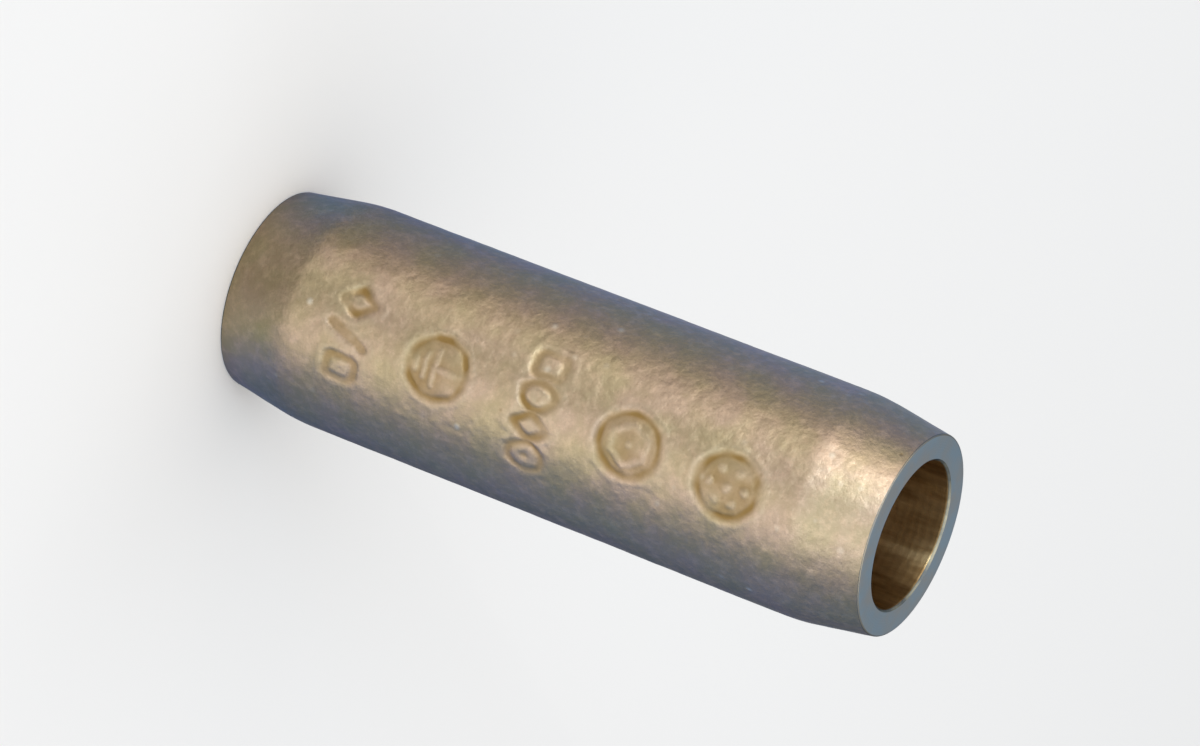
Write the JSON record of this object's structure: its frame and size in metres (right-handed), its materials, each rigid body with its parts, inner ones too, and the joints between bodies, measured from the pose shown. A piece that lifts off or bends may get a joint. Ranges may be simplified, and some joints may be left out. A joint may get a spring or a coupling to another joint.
{
  "type": "ground rod splice connector",
  "caption": "Cast bronze splice sleeve with tapered noses and a bore that narrows to its middle, driven over plain ground rods to join them end to end.",
  "frame": {"origin": "centre of the lower end face, on the bore axis", "axes": "+Z along the bore axis, up; X and Y are alike, and the stamped marks face -Y"},
  "size_m": [0.0222, 0.0222, 0.07],
  "materials": {
    "cast_bronze": "cast and tumbled skin, with machined end faces and bore"
  },
  "bodies": {
    "root": {"splice_sleeve": "cast_bronze"}
  },
  "joints": []
}
